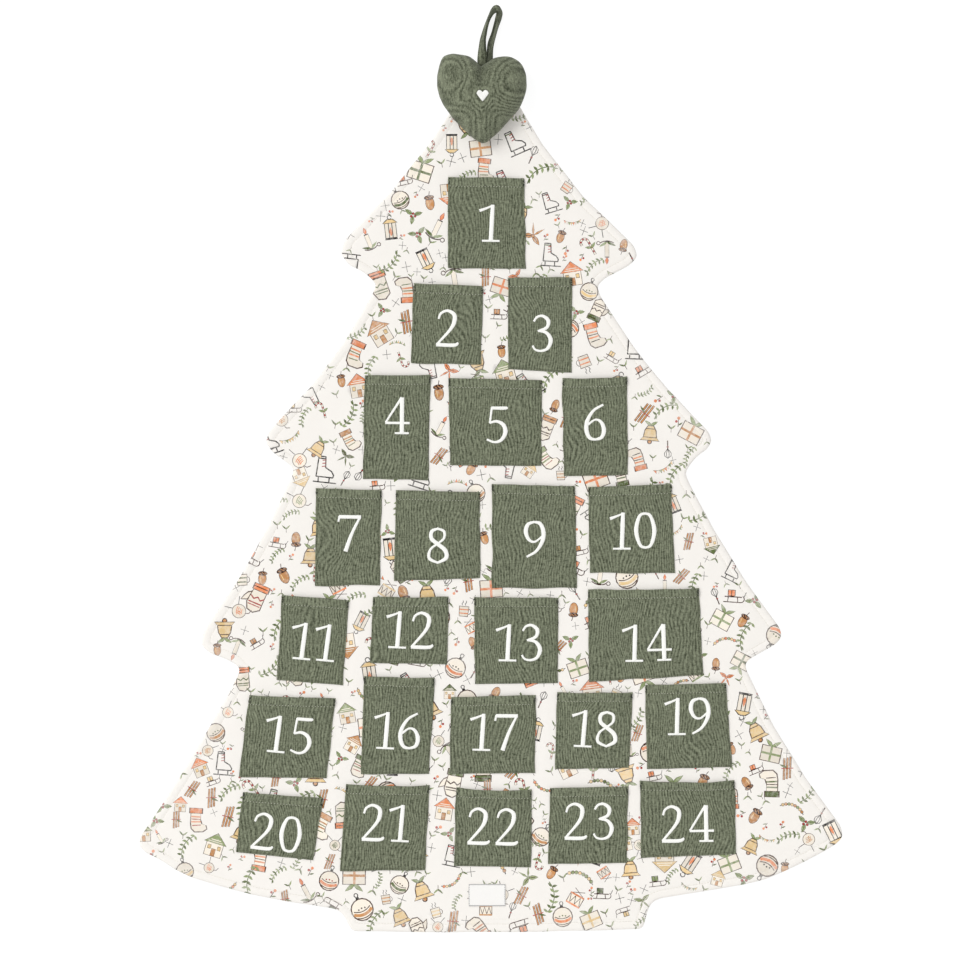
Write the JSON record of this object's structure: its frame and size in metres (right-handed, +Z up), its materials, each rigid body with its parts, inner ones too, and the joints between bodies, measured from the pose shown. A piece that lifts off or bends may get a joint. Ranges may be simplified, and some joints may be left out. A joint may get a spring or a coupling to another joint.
{
  "type": "hanging advent calendar",
  "caption": "Padded cloth tree that hangs on a wall by a tape loop, with numbered patch pockets for small gifts and a stuffed heart at its top.",
  "frame": {"origin": "where a hook bears on the inside of the hanging loop's top", "axes": "+Z up, the printed front faces -Y, the wall is on the +Y side, +X to the viewer's right"},
  "size_m": [0.7602, 0.0399, 1.0007],
  "materials": {
    "printed_canvas": "woven cotton canvas, off-white with a small all-over seasonal print",
    "plain_canvas": "woven cotton canvas, unprinted",
    "green_canvas": "melange woven canvas, grey-green",
    "green_tape": "folded and stitched tape of the green canvas",
    "green_thread": "sewing thread",
    "white_thread": "satin-stitch embroidery thread, slight sheen",
    "wadding": "polyester wadding and fibre filling",
    "label_tape": "smooth woven label tape with a thin dark edge"
  },
  "bodies": {
    "loop": {"hanging_loop": "green_tape"},
    "tree": {"front_panel": "printed_canvas", "wadding": "wadding", "back_panel": "plain_canvas", "label": "label_tape", "loop_tail": "green_tape", "pocket_01": "green_canvas", "pocket_02": "green_canvas", "pocket_03": "green_canvas", "pocket_04": "green_canvas", "pocket_05": "green_canvas", "pocket_06": "green_canvas", "pocket_07": "green_canvas", "pocket_08": "green_canvas", "pocket_09": "green_canvas", "pocket_10": "green_canvas", "pocket_11": "green_canvas", "pocket_12": "green_canvas", "pocket_13": "green_canvas", "pocket_14": "green_canvas", "pocket_15": "green_canvas", "pocket_16": "green_canvas", "pocket_17": "green_canvas", "pocket_18": "green_canvas", "pocket_19": "green_canvas", "pocket_20": "green_canvas", "pocket_21": "green_canvas", "pocket_22": "green_canvas", "pocket_23": "green_canvas", "pocket_24": "green_canvas", "number_01": "white_thread", "number_02": "white_thread", "number_03": "white_thread", "number_04": "white_thread", "number_05": "white_thread", "number_06": "white_thread", "number_07": "white_thread", "number_08": "white_thread", "number_09": "white_thread", "number_10": "white_thread", "number_11": "white_thread", "number_12": "white_thread", "number_13": "white_thread", "number_14": "white_thread", "number_15": "white_thread", "number_16": "white_thread", "number_17": "white_thread", "number_18": "white_thread", "number_19": "white_thread", "number_20": "white_thread", "number_21": "white_thread", "number_22": "white_thread", "number_23": "white_thread", "number_24": "white_thread"},
    "heart": {"heart_front": "green_canvas", "heart_back": "green_canvas", "heart_filling": "wadding", "heart_motif": "white_thread", "heart_tack": "green_thread"}
  },
  "joints": [
    {"name": "tree_swing", "type": "hinge", "parent": "loop", "child": "tree", "pos_m": [0, 0, -0.05795], "axis": [-1, 0, 0], "range_deg": [0, 45]},
    {"name": "heart_lift", "type": "hinge", "parent": "tree", "child": "heart", "pos_m": [-0.00916, -0.00266, -0.0725], "axis": [-1, 0, 0], "range_deg": [0, 20]}
  ]
}
